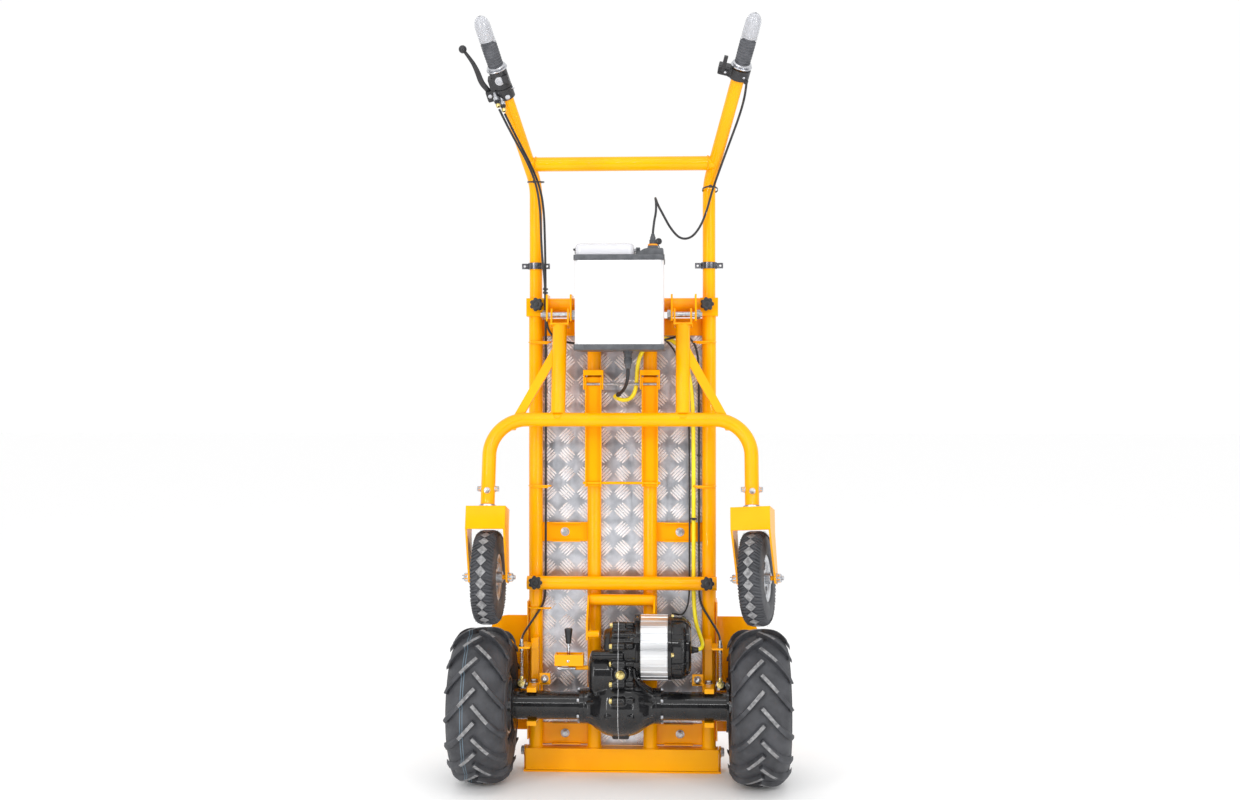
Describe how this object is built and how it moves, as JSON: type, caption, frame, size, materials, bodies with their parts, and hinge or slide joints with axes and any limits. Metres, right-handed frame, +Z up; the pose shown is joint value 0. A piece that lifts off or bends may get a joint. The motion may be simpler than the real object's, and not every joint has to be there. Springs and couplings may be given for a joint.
{
  "type": "power wheelbarrow",
  "caption": "Upright powered hand barrow: tube frame with a tread-plate deck, driven wheels, a swing-out caster frame, a telescoping handle, a folding toe plate and a battery.",
  "frame": {"origin": "on the ground in the middle plane, at the deck's load face", "axes": "+Z up the deck, +Y towards the load, +X to the right of somebody who looks along +Y"},
  "size_m": [0.716, 0.4963, 1.608],
  "materials": {
    "yellow_paint": "glossy powder coat",
    "tread_plate": "bright rolled tread plate",
    "galvanised": "zinc plated",
    "cast_black": "satin black paint",
    "yellow_zinc": "yellow zinc",
    "motor_band": "ribbed, satin",
    "tyre_rubber": "matt",
    "rim_steel": "bright",
    "black_plastic": "moulded",
    "black_cable": "satin",
    "yellow_conduit": "gloss",
    "battery_aluminium": "ribbed, satin white",
    "battery_plastic": "moulded",
    "cell_wrap": "film",
    "clear_plastic": "clear",
    "grip_rubber": "ribbed",
    "machined_steel": "machined"
  },
  "bodies": {
    "frame": {"frame_rails": "yellow_paint", "upper_crossmember": "yellow_paint", "lower_crossmember": "yellow_paint", "gearbox_bracket": "yellow_paint", "deck_brackets": "yellow_paint", "bottom_beam": "yellow_paint", "fenders": "yellow_paint", "axle_mounts": "yellow_paint", "deck_plate": "tread_plate", "frame_bolts": "galvanised", "gearbox_left": "cast_black", "gearbox_right": "cast_black", "axle_tubes": "cast_black", "housing_fasteners": "yellow_zinc", "motor_body": "motor_band", "motor_end_cap": "cast_black", "brake_cables": "black_cable", "motor_leads": "yellow_conduit", "hinge_pins": "galvanised", "battery_case": "battery_aluminium", "battery_caps": "battery_plastic", "battery_cells": "cell_wrap", "battery_cradle": "yellow_paint", "motor_controller": "black_plastic", "throttle_plug": "black_plastic"},
    "handle": {"handle_tubes": "yellow_paint", "handle_crossbar": "yellow_paint", "handle_grips": "grip_rubber", "grip_end_caps": "clear_plastic", "brake_lever_clamp": "black_plastic", "throttle_clamp": "black_plastic", "pipe_clamps": "black_plastic", "throttle_lead": "black_cable"},
    "brake_lever": {"brake_lever": "black_plastic"},
    "throttle_thumb": {"throttle_thumb": "black_plastic"},
    "brake_arm_left": {"brake_arm_left": "machined_steel"},
    "brake_arm_right": {"brake_arm_right": "machined_steel"},
    "toe_plate": {"toe_plate": "yellow_paint"},
    "swing_frame": {"swing_posts": "yellow_paint", "swing_bar": "yellow_paint"},
    "stay": {"stay": "yellow_paint"},
    "caster_fork_left": {"caster_fork_left": "yellow_paint"},
    "caster_fork_right": {"caster_fork_right": "yellow_paint"},
    "caster_wheel_left": {"caster_tyre_left": "tyre_rubber", "caster_rim_left": "rim_steel"},
    "caster_wheel_right": {"caster_tyre_right": "tyre_rubber", "caster_rim_right": "rim_steel"},
    "drive_wheel_left": {"drive_tyre_left": "tyre_rubber", "drive_rim_left": "rim_steel"},
    "drive_wheel_right": {"drive_tyre_right": "tyre_rubber", "drive_rim_right": "rim_steel"},
    "freewheel_lever": {"freewheel_lever": "black_plastic"},
    "battery_lid": {"battery_lid": "clear_plastic"},
    "upper_knob_left": {"upper_knob_left": "black_plastic"},
    "upper_knob_right": {"upper_knob_right": "black_plastic"},
    "lower_knob_left": {"lower_knob_left": "black_plastic"},
    "lower_knob_right": {"lower_knob_right": "black_plastic"},
    "motor_rotor": {"motor_rotor": "machined_steel"},
    "intermediate_gear": {"intermediate_gear": "machined_steel"},
    "ring_gear": {"ring_gear": "machined_steel"}
  },
  "joints": [
    {"name": "handle_slide", "type": "slide", "parent": "frame", "child": "handle", "axis": [0, 0, 1], "range_m": [-0.05, 0.15], "deforming": ["throttle_lead", "brake_cables"]},
    {"name": "toe_fold", "type": "hinge", "parent": "frame", "child": "toe_plate", "pos_m": [0, -0.008, 0.041], "axis": [1, 0, 0], "range_deg": [0, 90]},
    {"name": "swing_fold", "type": "hinge", "parent": "frame", "child": "swing_frame", "pos_m": [0, -0.066, 1.008], "axis": [-1, 0, 0], "range_deg": [0, 58]},
    {"name": "stay_fold", "type": "hinge", "parent": "frame", "child": "stay", "pos_m": [0, -0.052, 0.857], "axis": [-1, 0, 0], "range_deg": [0, 104.1]},
    {"name": "brake_pull", "type": "hinge", "parent": "handle", "child": "brake_lever", "pos_m": [-0.27315, -0.16591, 1.47096], "axis": [-0.0787, 0.7732, 0.6293], "range_deg": [0, 12], "stiffness_Nm_per_rad": 1.2, "springref_deg": -8.59},
    {"name": "throttle_push", "type": "hinge", "parent": "handle", "child": "throttle_thumb", "pos_m": [0.22157, -0.20117, 1.50324], "axis": [-0.0787, -0.7732, -0.6293], "range_deg": [0, 35], "stiffness_Nm_per_rad": 0.15, "springref_deg": -17.19},
    {"name": "brake_arm_left_turn", "type": "hinge", "parent": "frame", "child": "brake_arm_left", "pos_m": [-0.21, -0.07, 0.2], "axis": [-1, 0, 0], "range_deg": [0, 7.8]},
    {"name": "brake_arm_right_turn", "type": "hinge", "parent": "frame", "child": "brake_arm_right", "pos_m": [0.21, -0.07, 0.2], "axis": [-1, 0, 0], "range_deg": [0, 7.8]},
    {"name": "freewheel_tilt", "type": "hinge", "parent": "frame", "child": "freewheel_lever", "pos_m": [-0.112, -0.11, 0.262], "axis": [0, -1, 0], "range_deg": [0, 20]},
    {"name": "lid_open", "type": "hinge", "parent": "frame", "child": "battery_lid", "pos_m": [0.0395, -0.133, 1.138], "axis": [0, 1, 0], "range_deg": [0, 78]},
    {"name": "motor_turn", "type": "hinge", "parent": "frame", "child": "motor_rotor", "pos_m": [0.07, -0.11, 0.291], "axis": [1, 0, 0], "continuous": true},
    {"name": "intermediate_turn", "type": "hinge", "parent": "frame", "child": "intermediate_gear", "pos_m": [0, -0.11, 0.235], "axis": [1, 0, 0], "continuous": true},
    {"name": "ring_turn", "type": "hinge", "parent": "frame", "child": "ring_gear", "pos_m": [-0.014, -0.11, 0.165], "axis": [1, 0, 0], "continuous": true},
    {"name": "caster_swivel_left", "type": "hinge", "parent": "swing_frame", "child": "caster_fork_left", "pos_m": [-0.279, -0.066, 1.008], "axis": [0, 0.2419, 0.9703], "continuous": true},
    {"name": "caster_roll_left", "type": "hinge", "parent": "caster_fork_left", "child": "caster_wheel_left", "pos_m": [-0.2775, -0.16171, 0.44648], "axis": [0.9994, -0.0339, 0.0084], "continuous": true},
    {"name": "drive_roll_left", "type": "hinge", "parent": "frame", "child": "drive_wheel_left", "pos_m": [-0.296, -0.11, 0.165], "axis": [1, 0, 0], "continuous": true},
    {"name": "upper_knob_turn_left", "type": "hinge", "parent": "frame", "child": "upper_knob_left", "pos_m": [-0.187, -0.048, 1.032], "axis": [0, -1, 0], "continuous": true},
    {"name": "lower_knob_turn_left", "type": "hinge", "parent": "frame", "child": "lower_knob_left", "pos_m": [-0.187, -0.075, 0.424], "axis": [0, -1, 0], "continuous": true},
    {"name": "caster_swivel_right", "type": "hinge", "parent": "swing_frame", "child": "caster_fork_right", "pos_m": [0.279, -0.066, 1.008], "axis": [0, 0.2419, 0.9703], "continuous": true},
    {"name": "caster_roll_right", "type": "hinge", "parent": "caster_fork_right", "child": "caster_wheel_right", "pos_m": [0.2894, -0.16293, 0.44678], "axis": [0.9703, -0.2347, 0.0585], "continuous": true},
    {"name": "drive_roll_right", "type": "hinge", "parent": "frame", "child": "drive_wheel_right", "pos_m": [0.296, -0.11, 0.165], "axis": [1, 0, 0], "continuous": true},
    {"name": "upper_knob_turn_right", "type": "hinge", "parent": "frame", "child": "upper_knob_right", "pos_m": [0.187, -0.048, 1.032], "axis": [0, -1, 0], "continuous": true},
    {"name": "lower_knob_turn_right", "type": "hinge", "parent": "frame", "child": "lower_knob_right", "pos_m": [0.187, -0.075, 0.424], "axis": [0, -1, 0], "continuous": true}
  ],
  "couplings": [
    {"joint": "stay_fold", "follows": "swing_fold", "ratio": 1.793},
    {"joint": "brake_arm_left_turn", "follows": "brake_pull", "ratio": 0.65},
    {"joint": "brake_arm_right_turn", "follows": "brake_pull", "ratio": 0.65},
    {"joint": "intermediate_turn", "follows": "motor_turn", "ratio": -0.4},
    {"joint": "ring_turn", "follows": "motor_turn", "ratio": 0.16667}
  ]
}
